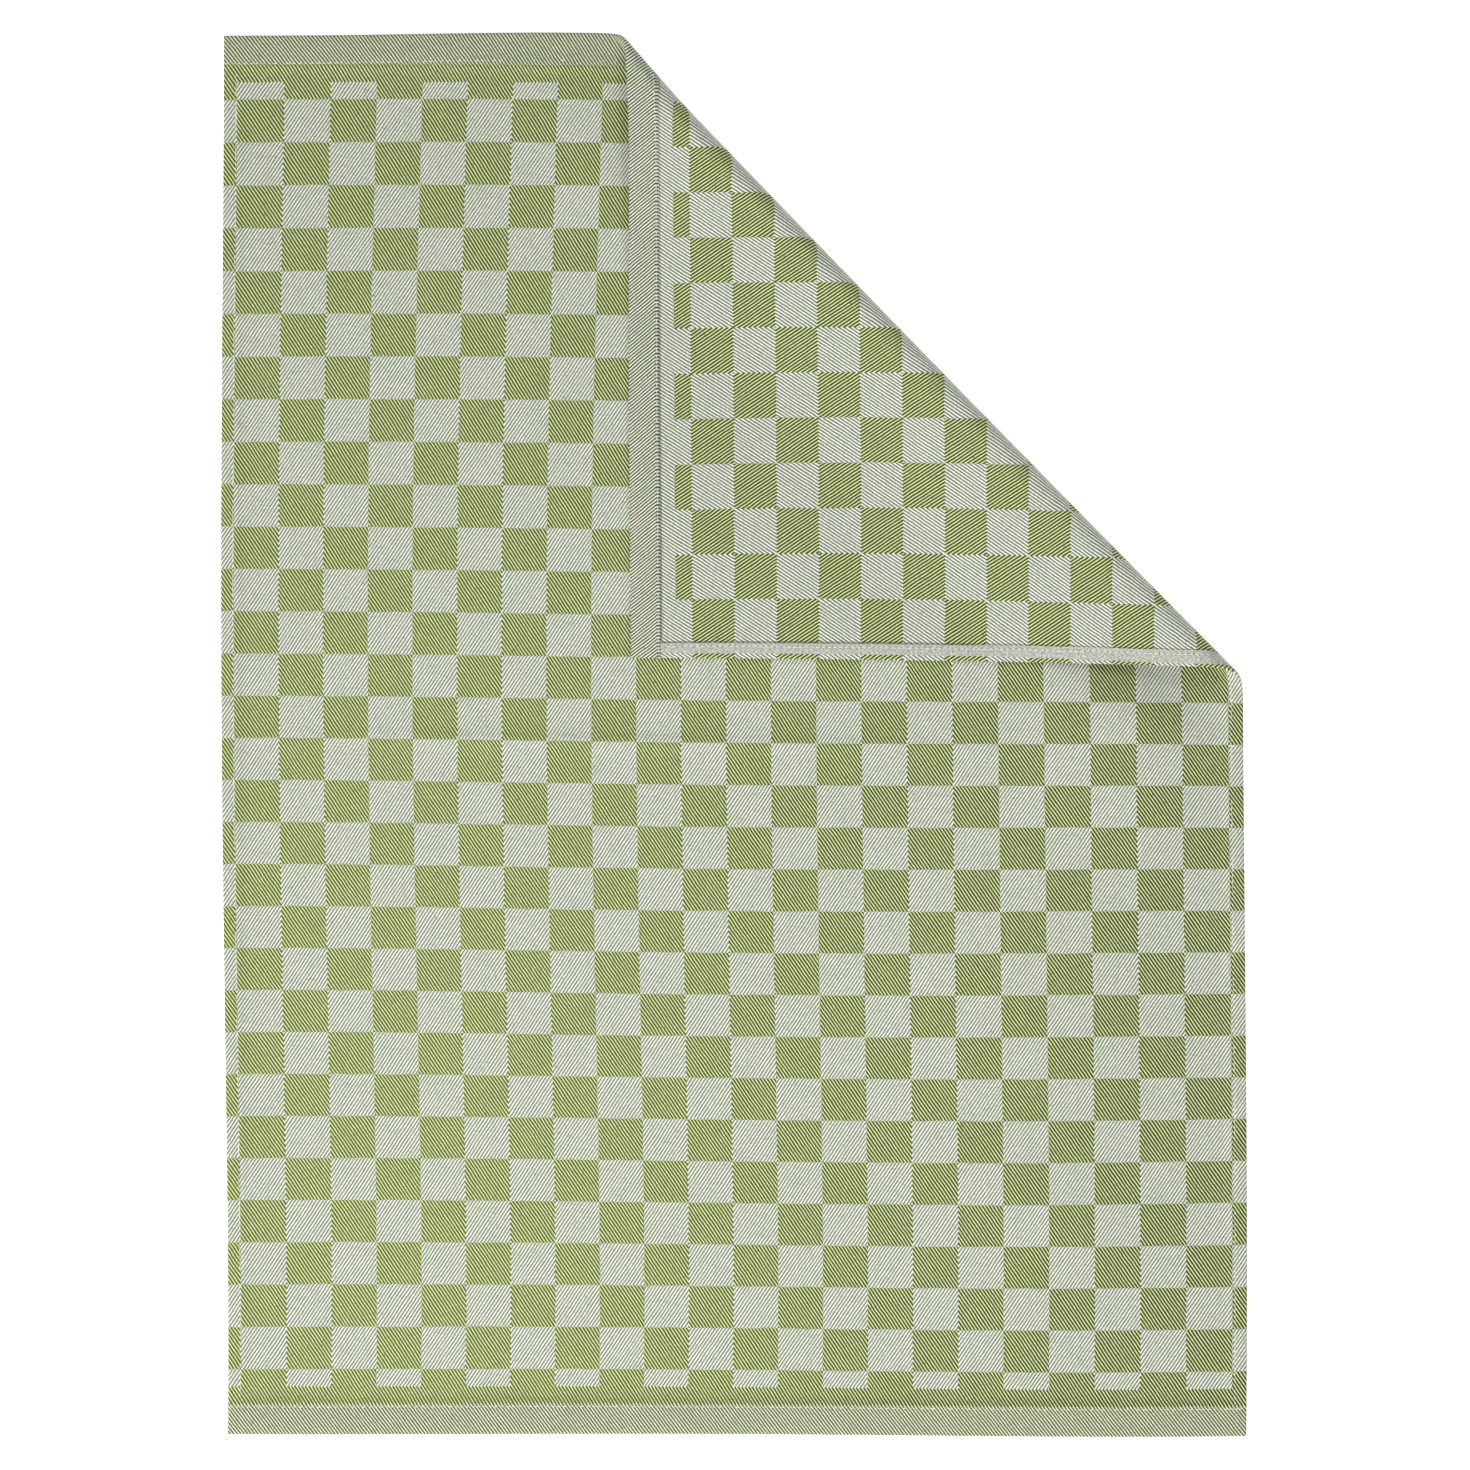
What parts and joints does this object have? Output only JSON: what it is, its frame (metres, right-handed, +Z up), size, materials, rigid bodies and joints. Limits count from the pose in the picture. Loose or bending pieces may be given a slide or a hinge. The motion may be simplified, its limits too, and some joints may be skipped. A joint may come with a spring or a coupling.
{
  "type": "tea towel",
  "caption": "Rectangular woven cotton tea towel with green and cream checks and sewn hems, lying flat, one corner folded over to the face.",
  "frame": {"origin": "under the middle of the folded towel's bounding box, on the surface it lies on", "axes": "+X across the towel, +Y along it towards the end with the folded corner, +Z up from the surface"},
  "size_m": [0.5126, 0.702, 0.0165],
  "materials": {
    "cotton_twill": "matt woven cotton twill in green and cream checks",
    "sewing_thread": "pale spun cotton thread"
  },
  "bodies": {
    "root": {"towel": "cotton_twill"}
  },
  "joints": []
}
